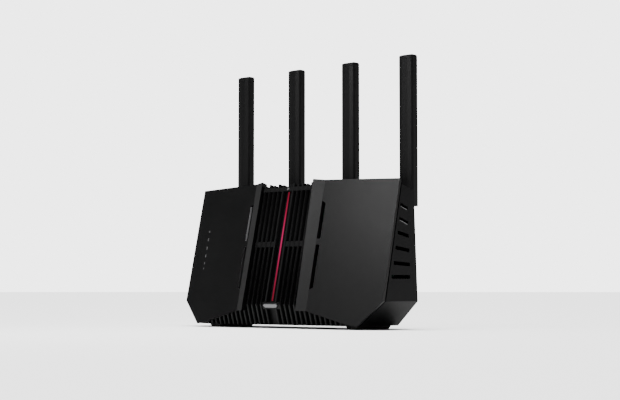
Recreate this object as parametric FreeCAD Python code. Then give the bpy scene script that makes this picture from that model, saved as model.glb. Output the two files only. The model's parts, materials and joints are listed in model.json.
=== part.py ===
import FreeCAD, Part
import math
import os

os.makedirs("parts", exist_ok=True)

# Frame: X to the right seen from the front, Y to the rear, Z up, millimetres.
# Z = 0 is the underside of the feet, X = 0 the symmetry plane, Y = 0 mid-depth.

# Front panels: plane Y = FACE_Y + FACE_SWEEP * |X| + FACE_LEAN * Z
FACE_Y = -47.42
FACE_SWEEP = 0.114
FACE_LEAN = 0.2288
PANEL_T = 2.6
PANEL_HALF_W = 125.0
BOTTOM_HALF_W = 101.4
BELLY_Z = 3.2
WIDEST_Z = 25.7
TOP_Z0 = 136.72
TOP_SLOPE = -0.26

# Strip facet between the centre grille and each panel
STRIP_IN_X = 33.75
STRIP_OUT_X = 44.0
STRIP_IN_Y = -46.535
STRIP_BOTTOM_Z = 16.8
RETURN_T = 2.2
RETURN_DEPTH = 7.2

# Vent slots beside the strips
SLOT_X0 = 44.1
SLOT_X1 = 48.2

# Centre grille
FIN_FRONT_Y = -44.17
FIN_DEPTH = 5.0
FIN_HALF_T = 1.0
FIN_FIRST = 6.4
FIN_PITCH = 5.8
RAIL_DEPTH = 0.3
RAIL_Z0 = 77.0
RAIL_Z1 = 82.0
CHANNEL_HALF_W = 5.6
BAND_Z = 130.6
FINS_PER_SIDE = 5
GRILLE_BASE_T = 1.2
GRILLE_HALF_W = 33.6
BEND_Z = 22.5
WRAP_LEAN = -0.3
WRAP_Y0 = -33.2
WRAP_DEPTH = 3.6
WRAP_HALF_W = 89.0
BAR_FRONT_Y = -41.97
BAR_HALF_W = 1.15
BAR_Z0 = 25.7
BAR_Z1 = 129.7

# Front frames behind the panels
FRAME_INSET = 2.2
FRAME_T = 2.4

# Rear cover
COVER_HALF_W = 124.4
COVER_TOP_Z0 = 132.43
REAR_Y0 = 26.73
REAR_LEAN = -0.052
WALL = 2.2
SIDE_SLOT_H = 3.4
BOSS_X = 113.0
BOSS_ZS = (44.0, 84.0)

# Board and what sits on it
BOARD_Y0 = 6.4
BOARD_T = 1.6
BOARD_HALF_W = 110.0
BOARD_Z0 = 10.0
BOARD_Z1 = 116.0
POST_X = 88.0
POST_ZS = (44.0, 110.0)
PORT_Z = 22.0
PORT_END_Y = 25.9
JACK_PITCH = 15.2
JACK_H = 13.4
LAN_X = -30.0
WAN_X = 18.0
USB_X = 45.0
SWITCH_X = 70.0
POWER_X = 91.0
BUTTON_XS = (-81.0, -97.0)
RESET_X = -69.5

# Antennas
ANTENNA_XS = (-105.0, -35.0, 35.0, 105.0)
BLADE_Y = 37.53
HINGE_Y = 32.9
HINGE_Z = 105.0
HINGE_R = 4.4
FORK_HALF_W = 5.0
TONGUE_HALF_W = 2.0
PIN_R = 1.5
SPINDLE_R = 4.0
BOSS_FACE_Y = 22.8
BLADE_Z0 = 114.0
BLADE_TOP = 257.2
BLADE_HALF_W = 8.2
BLADE_HALF_D = 5.0
BLADE_WALL = 1.4


def vec(x, y, z):
    return FreeCAD.Vector(x, y, z)


def box(x0, x1, y0, y1, z0, z1):
    return Part.makeBox(x1 - x0, y1 - y0, z1 - z0, vec(x0, y0, z0))


def cyl_y(x, z, r, y0, y1):
    return Part.makeCylinder(r, y1 - y0, vec(x, y0, z), vec(0, 1, 0))


def cyl_x(y, z, r, x0, x1):
    return Part.makeCylinder(r, x1 - x0, vec(x0, y, z), vec(1, 0, 0))


def solid_from(points, sweep):
    """Closed polygon through the points, pushed along the sweep vector."""
    return Part.Face(Part.makePolygon(points + [points[0]])).extrude(sweep)


def prism_y(outline, y0, y1):
    return solid_from([vec(x, y0, z) for x, z in outline], vec(0, y1 - y0, 0))


def prism_x(outline, x0, x1):
    return solid_from([vec(x0, y, z) for y, z in outline], vec(x1 - x0, 0, 0))


def prism_z(outline, z0, z1):
    return solid_from([vec(x, y, z0) for x, y in outline], vec(0, 0, z1 - z0))


def leaning_plate(outline, y0, sweep, start, end):
    """Plate whose faces lean back, between two depths behind a leaning plane."""
    points = [vec(x, y0 + sweep * x + FACE_LEAN * z + start, z) for x, z in outline]
    return solid_from(points, vec(0, end - start, 0))


def below(top_z0):
    """Everything under a top plane that drops towards the rear."""
    near = (-80.0, top_z0 - TOP_SLOPE * 80.0)
    far = (80.0, top_z0 + TOP_SLOPE * 80.0)
    return prism_x([near, far, (80.0, -20.0), (-80.0, -20.0)], -150, 150)


def mirror_x(shape):
    return shape.mirror(vec(0, 0, 0), vec(1, 0, 0))


def fuse(shapes):
    whole = shapes[0]
    if len(shapes) > 1:
        whole = whole.multiFuse(shapes[1:])
    return whole.removeSplitter()


def cut(shape, tools):
    for tool in tools:
        shape = shape.cut(tool)
    return shape


def save(name, shape):
    shape.exportStep("parts/" + name + ".step")


# ---------------------------------------------------------------- front panels

def panel_outline(inset):
    """Right panel from the strip's outer line to the side edge."""
    return [
        (STRIP_OUT_X, 16.5 + inset),
        (90.3, 4.6 + inset),
        (BOTTOM_HALF_W - 0.5 * inset, BELLY_Z + 1.0 * inset),
        (PANEL_HALF_W - inset, WIDEST_Z + 0.5 * inset),
        (PANEL_HALF_W - inset, 150.0),
        (STRIP_OUT_X, 150.0),
    ]


def strip_outline():
    return [
        (STRIP_IN_X + 0.4, STRIP_BOTTOM_Z),
        (STRIP_OUT_X, 16.5),
        (STRIP_OUT_X, 150.0),
        (STRIP_IN_X - 1.4, 150.0),
    ]


def strip_sweep():
    outer = FACE_Y + FACE_SWEEP * STRIP_OUT_X
    return (outer - STRIP_IN_Y) / (STRIP_OUT_X - STRIP_IN_X)


def vent_slots():
    upper = [(SLOT_X0, 83.7), (SLOT_X1, 83.7), (SLOT_X1, 116.8), (SLOT_X0, 119.7)]
    lower = [(SLOT_X0, 36.2), (SLOT_X1, 38.4), (SLOT_X1, 78.1), (SLOT_X0, 78.1)]
    return [prism_y(upper, -60, 40), prism_y(lower, -60, 40)]


def right_panel():
    sweep = strip_sweep()
    strip_y0 = STRIP_IN_Y - sweep * STRIP_IN_X
    plate = leaning_plate(panel_outline(0), FACE_Y, FACE_SWEEP, 0, PANEL_T)
    strip = leaning_plate(strip_outline(), strip_y0, sweep, 0, PANEL_T)
    wall = [
        (STRIP_IN_X + 0.4, STRIP_BOTTOM_Z),
        (STRIP_IN_X + 0.4 + RETURN_T, STRIP_BOTTOM_Z),
        (STRIP_IN_X - 1.4 + RETURN_T, 150.0),
        (STRIP_IN_X - 1.4, 150.0),
    ]
    back = leaning_plate(wall, strip_y0, sweep, 1.0, RETURN_DEPTH)
    panel = fuse([plate, strip, back])
    panel = panel.common(below(TOP_Z0))
    return cut(panel, vent_slots())


def light_marks():
    """Places of the status marks on the left panel: x, z, width, height."""
    marks = [(-106.2, 94.6, 2.0, 2.0)]
    for z in (86.6, 78.0, 70.2):
        marks.append((-106.0, z, 1.6, 3.2))
    marks.append((-105.8, 62.8, 1.4, 2.4))
    marks.append((-105.8, 57.6, 1.4, 1.8))
    return marks


def left_panel():
    panel = mirror_x(right_panel())
    for x, z, w, h in light_marks():
        panel = panel.cut(box(x - w / 2, x + w / 2, -60, 20, z - h / 2, z + h / 2))
    return panel


def status_light_guide():
    outline = [(-103.0, 53.0), (-109.0, 53.0), (-109.0, 99.0), (-103.0, 99.0)]
    bar = leaning_plate(outline, FACE_Y, -FACE_SWEEP, PANEL_T, PANEL_T + 1.6)
    fingers = [bar]
    for x, z, w, h in light_marks():
        tip = [
            (x - w / 2 + 0.1, z - h / 2 + 0.1),
            (x + w / 2 - 0.1, z - h / 2 + 0.1),
            (x + w / 2 - 0.1, z + h / 2 - 0.1),
            (x - w / 2 + 0.1, z + h / 2 - 0.1),
        ]
        fingers.append(leaning_plate(tip, FACE_Y, -FACE_SWEEP, 0.15, PANEL_T + 0.5))
    return fuse(fingers)


def right_frame():
    """Dark recessed lip between panel and cover, with two screw bosses."""
    start = PANEL_T
    end = PANEL_T + FRAME_T
    outer = leaning_plate(panel_outline(FRAME_INSET), FACE_Y, FACE_SWEEP, start, end)
    inner = leaning_plate(panel_outline(9.0), FACE_Y, FACE_SWEEP, start - 1, end + 1)
    inner = inner.common(box(50, 150, -80, 80, 0, 126)).common(below(TOP_Z0 - 11))
    ring = outer.cut(inner).common(below(TOP_Z0 - FRAME_INSET))
    ring = ring.common(box(STRIP_OUT_X - 3.0, 150, -80, 80, 0, 150))
    pieces = [ring]
    holes = []
    for z in BOSS_ZS:
        front = FACE_Y + FACE_SWEEP * BOSS_X + FACE_LEAN * z + start
        wall_y = REAR_Y0 + REAR_LEAN * z - WALL
        web = box(BOSS_X - 3.2, 119.0, front + 1.7, front + 3.8, z - 3, z + 3)
        pieces.append(web)
        pieces.append(cyl_y(BOSS_X, z, 3.2, front + 1.8, wall_y - 0.5))
        holes.append(cyl_y(BOSS_X, z, 1.5, wall_y - 22, wall_y + 1))
    low = wrap_side(-40, WRAP_DEPTH + GRILLE_BASE_T + 0.2)
    holes.append(prism_x(low, -WRAP_HALF_W - 0.4, WRAP_HALF_W + 0.4))
    return cut(cut(fuse(pieces), holes), vent_slots())


# ---------------------------------------------------------------- centre grille

def fin_positions():
    places = []
    for i in range(FINS_PER_SIDE):
        offset = FIN_FIRST + i * FIN_PITCH
        places.append(offset)
        places.append(-offset)
    return places


def grille_side(front, depth):
    """Side profile of the grille between two depths behind the fin fronts."""
    y_top = FIN_FRONT_Y + FACE_LEAN * 150.0
    y_bend = FIN_FRONT_Y + FACE_LEAN * BEND_Z
    y_low = WRAP_Y0
    return [
        (y_top + front, 150.0),
        (y_bend + front, BEND_Z),
        (y_low + front, BELLY_Z),
        (y_low + depth, BELLY_Z),
        (y_bend + depth, BEND_Z),
        (y_top + depth, 150.0),
    ]


def wrap_side(front, depth):
    y_low = WRAP_Y0
    y_high = WRAP_Y0 + WRAP_LEAN * (BEND_Z - BELLY_Z)
    return [
        (y_high + front, BEND_Z),
        (y_low + front, BELLY_Z),
        (y_low + depth, BELLY_Z),
        (y_high + depth, BEND_Z),
    ]


def panel_shadow():
    """Space that the right panel and its clearance take up."""
    main = leaning_plate(panel_outline(0), FACE_Y, FACE_SWEEP, -8, PANEL_T + 0.3)
    sweep = strip_sweep()
    strip_y0 = STRIP_IN_Y - sweep * STRIP_IN_X
    outline = [(x - 0.3 if x < 36 else x, z) for x, z in strip_outline()]
    strip = leaning_plate(outline, strip_y0, sweep, -8, PANEL_T + 0.3)
    wall = [
        (STRIP_IN_X + 0.1, STRIP_BOTTOM_Z - 0.2),
        (STRIP_IN_X + 0.9 + RETURN_T, STRIP_BOTTOM_Z - 0.2),
        (STRIP_IN_X - 1.1 + RETURN_T, 150.0),
        (STRIP_IN_X - 1.7, 150.0),
    ]
    back = leaning_plate(wall, strip_y0, sweep, -3, RETURN_DEPTH + 0.3)
    return fuse([main, strip, back])


def center_grille():
    shadow = panel_shadow()
    base_side = grille_side(FIN_DEPTH, FIN_DEPTH + GRILLE_BASE_T)
    half = GRILLE_HALF_W - 2.0
    pieces = [prism_x(base_side, -half, half)]
    for x in fin_positions():
        fin = prism_x(grille_side(0, FIN_DEPTH + 0.3), x - FIN_HALF_T, x + FIN_HALF_T)
        pieces.append(fin)
    for x0, x1 in ((-half, -CHANNEL_HALF_W), (CHANNEL_HALF_W, half)):
        rail = prism_x(grille_side(RAIL_DEPTH, FIN_DEPTH + 0.3), x0, x1)
        pieces.append(rail.common(box(-50, 50, -60, 40, RAIL_Z0, RAIL_Z1)))
    band = prism_x(grille_side(0.15, FIN_DEPTH + 0.3), -half, half)
    pieces.append(band.common(box(-50, 50, -60, 40, BAND_Z, 134.4)))
    pieces.append(prism_x(grille_side(3.6, FIN_DEPTH + 0.3), -3.6, 3.6))
    plinth = prism_x(grille_side(0.4, FIN_DEPTH + 0.3), -10.4, 10.4)
    pieces.append(plinth.common(box(-50, 50, -60, 40, 18.2, 24.8)))
    lower = prism_x(wrap_side(WRAP_DEPTH, WRAP_DEPTH + GRILLE_BASE_T), -WRAP_HALF_W, WRAP_HALF_W)
    pieces.append(lower)
    count = int((WRAP_HALF_W - FIN_FIRST) / FIN_PITCH) + 1
    for i in range(FINS_PER_SIDE, count):
        for side in (-1, 1):
            x = side * (FIN_FIRST + i * FIN_PITCH)
            rib = prism_x(wrap_side(0, WRAP_DEPTH + 0.3), x - FIN_HALF_T, x + FIN_HALF_T)
            pieces.append(rib)
    grille = fuse(pieces)
    slits = []
    stations = sorted(fin_positions())
    for left, right in zip(stations, stations[1:]):
        if right - left > FIN_PITCH + 1:
            continue
        x0 = left + FIN_HALF_T + 0.4
        x1 = right - FIN_HALF_T - 0.4
        for z0, z1 in ((28.0, 75.0), (84.0, 128.5)):
            slit = prism_x(grille_side(FIN_DEPTH - 0.5, FIN_DEPTH + 3), x0, x1)
            slits.append(slit.common(box(-50, 50, -60, 40, z0, z1)))
    for i, x in enumerate(sorted(fin_positions())):
        notch = 1.2 if i % 2 else 2.4
        keep = below(TOP_Z0 - 1.0 - notch)
        gone = box(x - 2.9, x + 2.9, -60, 60, 100, 160).cut(keep)
        slits.append(gone)
    grille = grille.common(below(TOP_Z0 - 1.8))
    bed = prism_x(grille_side(2.1, 3.65), -BAR_HALF_W - 0.1, BAR_HALF_W + 0.1)
    slits.append(bed.common(box(-5, 5, -60, 40, BAR_Z0 - 0.2, BAR_Z1 + 0.2)))
    grille = cut(grille, slits)
    return cut(grille, [badge(), shadow, mirror_x(shadow)])


def light_bar():
    front = BAR_FRONT_Y - FIN_FRONT_Y
    bar = prism_x(grille_side(front, 3.6), -BAR_HALF_W, BAR_HALF_W)
    return bar.common(box(-5, 5, -60, 40, BAR_Z0, BAR_Z1))


def badge():
    outline = [(-9.0, 21.5), (-6.6, 19.4), (7.4, 19.4), (9.0, 21.5), (7.4, 23.6), (-6.6, 23.6)]
    plate = prism_y(outline, -44.0, -30.0)
    return plate.common(prism_x(grille_side(-0.8, 0.4), -20, 20))


# ---------------------------------------------------------------- rear cover

def cover_block(inset):
    """Outer body of the cover, or its inside when an inset is given."""
    w = COVER_HALF_W - inset
    b = BOTTOM_HALF_W - 0.6 - 0.45 * inset
    outline = [
        (-b, BELLY_Z + inset), (b, BELLY_Z + inset), (w, WIDEST_Z + 0.45 * inset),
        (w, 160.0), (-w, 160.0), (-w, WIDEST_Z + 0.45 * inset),
    ]
    block = prism_y(outline, -60, 40)
    rear = REAR_Y0 - inset
    side = [(-80, -10), (rear - REAR_LEAN * 10, -10), (rear + REAR_LEAN * 160, 160), (-80, 160)]
    return block.common(prism_x(side, -150, 150)).common(below(COVER_TOP_Z0 - inset))


def front_clearance():
    """Space in front of the cover: panels, frames and grille live there."""
    outline = [(0, -10), (140, -10), (140, 170), (0, 170)]
    depth = PANEL_T + FRAME_T + 0.1
    right = leaning_plate(outline, FACE_Y, FACE_SWEEP, -120, depth)
    middle = leaning_plate(
        [(-37.0, -10), (37.0, -10), (37.0, 170), (-37.0, 170)],
        FIN_FRONT_Y, 0, -120, FIN_DEPTH + GRILLE_BASE_T + 1.6)
    low = wrap_side(-40, WRAP_DEPTH + GRILLE_BASE_T + 0.2)
    wedge = prism_x(low, -WRAP_HALF_W - 0.4, WRAP_HALF_W + 0.4)
    deep = prism_x(grille_side(-40, FIN_DEPTH + GRILLE_BASE_T + 0.2), -37.0, 37.0)
    return [right, mirror_x(right), middle, wedge, deep]


def side_slots():
    rows = [
        (-0.2, 113.4, 10.7, 109.8), (-1.9, 100.6, 11.4, 96.6), (-4.5, 88.0, 12.2, 85.0),
        (-7.8, 74.3, 12.9, 71.8), (-10.4, 60.3, 13.7, 59.1), (-13.7, 47.7, 13.7, 47.9),
    ]
    slots = []
    h = SIDE_SLOT_H / 2
    for y0, z0, y1, z1 in rows:
        outline = [(y0, z0 - h), (y1, z1 - h), (y1, z1 + h), (y0, z0 + h)]
        slots.append(prism_x(outline, 118, 130))
        slots.append(prism_x(outline, -130, -118))
    return slots


def rear_vents():
    slots = []
    for i in range(7):
        z = 46.0 + i * 6.0
        for x0, x1 in ((-58.0, -4.0), (4.0, 58.0)):
            slots.append(box(x0, x1, 15, 35, z - 1.3, z + 1.3))
    return slots


def port_cutouts():
    z = PORT_Z
    gap = 0.3
    lan = 2 * JACK_PITCH + gap
    wan = JACK_PITCH / 2 + gap
    h = JACK_H / 2 + gap
    cuts = [
        box(LAN_X - lan, LAN_X + lan, 15, 35, z - h, z + h),
        box(WAN_X - wan, WAN_X + wan, 15, 35, z - h, z + h),
        box(USB_X - 7.0, USB_X + 7.0, 15, 35, z - 3.3, z + 3.3),
        box(POWER_X - 5.3, POWER_X + 5.3, 15, 35, z - 6.3, z + 6.3),
        cyl_y(SWITCH_X, z, 5.55, 15, 35),
        cyl_y(RESET_X, z, 0.9, 15, 35),
    ]
    for x in BUTTON_XS:
        cuts.append(cyl_y(x, z, 4.05, 15, 35))
    return cuts


def rear_cover():
    shell = cover_block(0).cut(cover_block(WALL))
    shell = cut(shell, front_clearance())
    pieces = [shell]
    holes = side_slots() + rear_vents() + port_cutouts()
    inside = cover_block(0.5)
    for x in (-POST_X, POST_X):
        for z in POST_ZS:
            pieces.append(cyl_y(x, z, 3.4, BOARD_Y0 + BOARD_T, 25).common(inside))
            holes.append(cyl_y(x, z, 1.3, BOARD_Y0 + BOARD_T - 1, 15.2))
    for x in ANTENNA_XS:
        pieces.append(cyl_y(x, HINGE_Z, 9.5, 17.6, BOSS_FACE_Y))
        holes.append(cyl_y(x, HINGE_Z, SPINDLE_R + 0.05, 10, 30))
    for x in (-BOSS_X, BOSS_X):
        for z in BOSS_ZS:
            face = REAR_Y0 + REAR_LEAN * z
            holes.append(cyl_y(x, z, 1.5, 10, 30))
            holes.append(cyl_y(x, z, 3.1, face - 1.1, 30))
    return cut(fuse(pieces), holes)


def cover_screws():
    screws = []
    for x in (-BOSS_X, BOSS_X):
        for z in BOSS_ZS:
            face = REAR_Y0 + REAR_LEAN * z
            head = cyl_y(x, z, 2.9, face - 1.1, face + 0.1)
            shank = cyl_y(x, z, 1.4, face - 12.0, face - 1.0)
            cross = fuse([
                box(x - 1.7, x + 1.7, face - 0.7, face + 1, z - 0.35, z + 0.35),
                box(x - 0.35, x + 0.35, face - 0.7, face + 1, z - 1.7, z + 1.7),
            ])
            screws.append(fuse([head, shank]).cut(cross))
    return Part.makeCompound(screws)


def foot(side):
    outline = [(79.0, BELLY_Z), (82.0, 0.0), (92.0, 0.0), (95.0, BELLY_Z)]
    pad = prism_y(outline, -24.0, 24.0)
    return pad if side > 0 else mirror_x(pad)


def blank_label():
    return box(-32.0, 32.0, -14.0, 14.0, BELLY_Z - 0.3, BELLY_Z)


# ---------------------------------------------------------------- board

def main_board():
    outline = [
        (-96.0, BOARD_Z0), (96.0, BOARD_Z0), (BOARD_HALF_W, BOARD_Z0 + 17.0),
        (BOARD_HALF_W, BOARD_Z1), (-BOARD_HALF_W, BOARD_Z1), (-BOARD_HALF_W, BOARD_Z0 + 17.0),
    ]
    board = prism_y(outline, BOARD_Y0, BOARD_Y0 + BOARD_T)
    for x in (-POST_X, POST_X):
        for z in POST_ZS:
            board = board.cut(cyl_y(x, z, 1.5, BOARD_Y0 - 1, BOARD_Y0 + BOARD_T + 1))
    for side in (-1, 1):
        for z in BOSS_ZS:
            board = board.cut(cyl_y(side * BOSS_X, z, 4.6, BOARD_Y0 - 1, BOARD_Y0 + 3))
    return board


def board_screws():
    screws = []
    for x in (-POST_X, POST_X):
        for z in POST_ZS:
            head = cyl_y(x, z, 2.7, BOARD_Y0 - 1.6, BOARD_Y0)
            shank = cyl_y(x, z, 1.2, BOARD_Y0 - 0.5, BOARD_Y0 + 7.5)
            screws.append(fuse([head, shank]))
    return Part.makeCompound(screws)


def finned_sink(x0, x1, z0, z1, foot_y, tip_y, fins):
    """Plate with upright fins; the fins point from foot_y towards tip_y."""
    way = 1 if tip_y > foot_y else -1
    plate_y = sorted((foot_y, foot_y + way * 1.8))
    pieces = [box(x0, x1, plate_y[0], plate_y[1], z0, z1)]
    fin_y = sorted((foot_y + way * 1.0, tip_y))
    for i in range(fins):
        x = x0 + 0.7 + i * (x1 - x0 - 1.4) / (fins - 1)
        pieces.append(box(x - 0.6, x + 0.6, fin_y[0], fin_y[1], z0, z1))
    return fuse(pieces)


def shield_can(x0, x1, z0, z1):
    can = box(x0, x1, BOARD_Y0 - 2.6, BOARD_Y0, z0, z1)
    return can.cut(box(x0 + 0.4, x1 - 0.4, BOARD_Y0 - 2.2, BOARD_Y0 + 1, z0 + 0.4, z1 - 0.4))


def chip(x, z, size):
    return box(x - size / 2, x + size / 2, BOARD_Y0 - 1.2, BOARD_Y0, z - size / 2, z + size / 2)


def memory_chips():
    return Part.makeCompound([chip(-74.0, 62.0, 11.0), chip(-74.0, 80.0, 11.0)])


def capacitors():
    cans = []
    for i in range(4):
        cans.append(cyl_y(72.0 + i * 8.0, 30.0, 3.0, BOARD_Y0 - 7.0, BOARD_Y0))
    return Part.makeCompound(cans)


def antenna_leads():
    leads = []
    for x in ANTENNA_XS:
        plug = cyl_y(x, HINGE_Z, 2.2, BOARD_Y0 + BOARD_T, BOARD_Y0 + BOARD_T + 2.0)
        cable = cyl_y(x, HINGE_Z, 0.9, BOARD_Y0 + BOARD_T + 1.5, 27.0)
        leads.append(fuse([plug, cable]))
    return Part.makeCompound(leads)


# ---------------------------------------------------------------- ports

def jack_hole(x):
    z = PORT_Z
    return fuse([
        box(x - 5.95, x + 5.95, PORT_END_Y - 13.5, PORT_END_Y + 1, z - 4.6, z + 2.6),
        box(x - 3.1, x + 3.1, PORT_END_Y - 13.5, PORT_END_Y + 1, z + 2.5, z + 3.8),
        box(x - 1.8, x + 1.8, PORT_END_Y - 13.5, PORT_END_Y + 1, z + 3.7, z + 5.0),
    ])


def jack_block(center, count):
    half = count * JACK_PITCH / 2
    y0 = BOARD_Y0 + BOARD_T
    block = box(center - half, center + half, y0, PORT_END_Y, PORT_Z - JACK_H / 2, PORT_Z + JACK_H / 2)
    for i in range(count):
        block = block.cut(jack_hole(center - half + (i + 0.5) * JACK_PITCH))
    return block


def jack_contacts():
    wires = []
    centers = [WAN_X] + [LAN_X + (i - 1.5) * JACK_PITCH for i in range(4)]
    for center in centers:
        for k in range(8):
            x = center + (k - 3.5) * 1.02
            low = PORT_Z - 4.6
            y1 = PORT_END_Y - 4.0
            rise = [(y1 - 9.5, low), (y1, low), (y1, low + 0.4), (y1 - 9.5, low + 2.0)]
            wires.append(prism_x(rise, x - 0.2, x + 0.2))
    return Part.makeCompound(wires)


def usb_port():
    y0 = BOARD_Y0 + BOARD_T
    shell = box(USB_X - 6.7, USB_X + 6.7, y0, PORT_END_Y, PORT_Z - 3.0, PORT_Z + 3.0)
    return shell.cut(box(USB_X - 6.2, USB_X + 6.2, y0 + 3, PORT_END_Y + 1, PORT_Z - 2.5, PORT_Z + 2.5))


def usb_tongue():
    y0 = BOARD_Y0 + BOARD_T + 3
    return box(USB_X - 5.6, USB_X + 5.6, y0, PORT_END_Y - 1.0, PORT_Z + 0.2, PORT_Z + 2.0)


def power_jack():
    y0 = BOARD_Y0 + BOARD_T
    body = box(POWER_X - 5.0, POWER_X + 5.0, y0, PORT_END_Y, PORT_Z - 6.0, PORT_Z + 6.0)
    return body.cut(cyl_y(POWER_X, PORT_Z, 3.2, PORT_END_Y - 11, PORT_END_Y + 1))


def power_jack_pin():
    pin = cyl_y(POWER_X, PORT_Z, 1.0, PORT_END_Y - 11, PORT_END_Y - 1.6)
    return fuse([pin, Part.makeSphere(1.0, vec(POWER_X, PORT_END_Y - 1.6, PORT_Z))])


def switch_block(x, size, height):
    y0 = BOARD_Y0 + BOARD_T
    return box(x - size / 2, x + size / 2, y0, y0 + height, PORT_Z - size / 2, PORT_Z + size / 2)


def push_cap(x, r, collar_r, tip_y, foot_y):
    """Round cap through the rear wall, a collar behind the wall and a stem."""
    wall_y = REAR_Y0 + REAR_LEAN * PORT_Z - WALL
    cap = cyl_y(x, PORT_Z, r, wall_y - 1.6, tip_y)
    collar = cyl_y(x, PORT_Z, collar_r, wall_y - 2.0, wall_y - 0.7)
    stem = cyl_y(x, PORT_Z, 1.6, foot_y, wall_y - 1.0)
    return fuse([cap, collar, stem])


# ---------------------------------------------------------------- antennas

def blade_section(shrink):
    w = BLADE_HALF_W - shrink
    d = BLADE_HALF_D - shrink
    half = [
        (3.0, -d), (7.0 - shrink, -d + 0.9), (w, -d + 2.4), (w, d - 1.0), (w - 1.0, d),
    ]
    other = [(-x, y) for x, y in reversed(half)]
    return half + other


def at(points, x):
    return [(px + x, py + BLADE_Y) for px, py in points]


def antenna_housing(x):
    body = prism_z(at(blade_section(0), x), BLADE_Z0, BLADE_TOP - 4.0)
    bore = prism_z(at(blade_section(BLADE_WALL), x), BLADE_Z0 + 3.0, BLADE_TOP)
    body = body.cut(bore)
    side = [
        (HINGE_Y - 2.4, HINGE_Z), (HINGE_Y + 3.6, HINGE_Z), (HINGE_Y + 8.2, BLADE_Z0),
        (HINGE_Y + 8.2, BLADE_Z0 + 0.5), (HINGE_Y + 0.4, BLADE_Z0 + 0.5),
    ]
    neck = prism_x(side, x - TONGUE_HALF_W, x + TONGUE_HALF_W)
    eye = cyl_x(HINGE_Y, HINGE_Z, HINGE_R, x - TONGUE_HALF_W, x + TONGUE_HALF_W)
    body = fuse([body, neck, eye])
    return body.cut(cyl_x(HINGE_Y, HINGE_Z, PIN_R + 0.05, x - 10, x + 10))


def antenna_cap(x):
    lid = prism_z(at(blade_section(0), x), BLADE_TOP - 4.0, BLADE_TOP)
    plug = prism_z(at(blade_section(BLADE_WALL + 0.1), x), BLADE_TOP - 8.0, BLADE_TOP - 3.5)
    lid = fuse([lid, plug])
    corner = 2.0
    for side in (-1, 1):
        edge = x + side * BLADE_HALF_W
        wedge = [
            (edge + side * 0.5, BLADE_TOP - corner), (edge + side * 0.5, BLADE_TOP + 1),
            (edge - side * (corner + 1.0), BLADE_TOP + 1), (edge - side * corner, BLADE_TOP),
            (edge, BLADE_TOP - corner),
        ]
        lid = lid.cut(prism_y(wedge, BLADE_Y - 10, BLADE_Y + 10))
    slope = [(-6.0, -1.6), (-6.0, 1.0), (-1.5, 1.0), (-1.5, 0.0), (-BLADE_HALF_D, -1.6)]
    outline = [(BLADE_Y + y, BLADE_TOP + z) for y, z in slope]
    return lid.cut(prism_x(outline, x - 12, x + 12))


def antenna_element(x):
    return box(x - 4.6, x + 4.6, BLADE_Y - 0.5, BLADE_Y + 0.5, BLADE_Z0 + 3.0, BLADE_TOP - 12.0)


def antenna_pin(x):
    return cyl_x(HINGE_Y, HINGE_Z, PIN_R, x - FORK_HALF_W + 0.2, x + FORK_HALF_W - 0.2)


def antenna_mount(x):
    """Spindle through the rear wall, turning disc and the fork for the blade."""
    face = BOSS_FACE_Y + 0.3
    spindle = cyl_y(x, HINGE_Z, SPINDLE_R, 14.6, face + 1)
    flange = cyl_y(x, HINGE_Z, 6.0, 14.6, 17.3)
    disc = cyl_y(x, HINGE_Z, 7.5, face, face + 4.4)
    cheeks = []
    for side in (-1, 1):
        near = x + side * (TONGUE_HALF_W + 0.3)
        far = x + side * FORK_HALF_W
        x0, x1 = sorted((near, far))
        ring = cyl_x(HINGE_Y, HINGE_Z, HINGE_R, x0, x1)
        arm = box(x0, x1, face + 3.5, HINGE_Y, HINGE_Z - 3.8, HINGE_Z + 3.8)
        cheeks.append(fuse([ring, arm]))
    mount = fuse([spindle, flange, disc] + cheeks)
    mount = mount.cut(cyl_y(x, HINGE_Z, 1.8, 10, face + 6))
    return mount.cut(cyl_x(HINGE_Y, HINGE_Z, PIN_R, x - 10, x + 10))


def antenna(number, x):
    stem = "antenna_" + str(number)
    save(stem + "_mount", antenna_mount(x))
    save(stem + "_pin", antenna_pin(x))
    save(stem + "_housing", antenna_housing(x))
    save(stem + "_cap", antenna_cap(x))
    save(stem + "_element", antenna_element(x))


save("front_panel_right", right_panel())
save("front_panel_left", left_panel())
save("status_light_guide", status_light_guide())
save("front_frame_right", right_frame())
save("front_frame_left", mirror_x(right_frame()))
save("center_grille", center_grille())
save("light_bar", light_bar())
save("badge", badge())
save("rear_cover", rear_cover())
save("cover_screws", cover_screws())
save("foot_right", foot(1))
save("foot_left", foot(-1))
save("blank_label", blank_label())
save("main_board", main_board())
save("board_screws", board_screws())
save("heat_sink_front", finned_sink(-60, 60, 40, 100, BOARD_Y0 - 3.2, -8.0, 17))
save("heat_sink_rear", finned_sink(-60, 60, 40, 96, BOARD_Y0 + BOARD_T + 0.8, 17.0, 15))
save("thermal_pad_front", box(-52, 52, BOARD_Y0 - 3.2, BOARD_Y0 - 2.6, 46, 94))
save("thermal_pad_rear", box(-50, 50, BOARD_Y0 + BOARD_T, BOARD_Y0 + BOARD_T + 0.8, 46, 90))
save("shield_can_left", shield_can(-54, -20, 46, 92))
save("shield_can_center", shield_can(-16, 16, 48, 90))
save("shield_can_right", shield_can(20, 54, 46, 92))
save("processor", chip(0, 69, 15.0))
save("memory_chips", memory_chips())
save("capacitors", capacitors())
save("antenna_leads", antenna_leads())
save("lan_port_block", jack_block(LAN_X, 4))
save("wan_port", jack_block(WAN_X, 1))
save("jack_contacts", jack_contacts())
save("usb_port", usb_port())
save("usb_tongue", usb_tongue())
save("power_jack", power_jack())
save("power_jack_pin", power_jack_pin())
save("power_switch", switch_block(SWITCH_X, 9.0, 8.0))
save("power_button", push_cap(SWITCH_X, 5.5, 6.6, PORT_END_Y + 1.6, BOARD_Y0 + BOARD_T + 10.2))
save("wps_switch", switch_block(BUTTON_XS[0], 6.0, 3.8))
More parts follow.
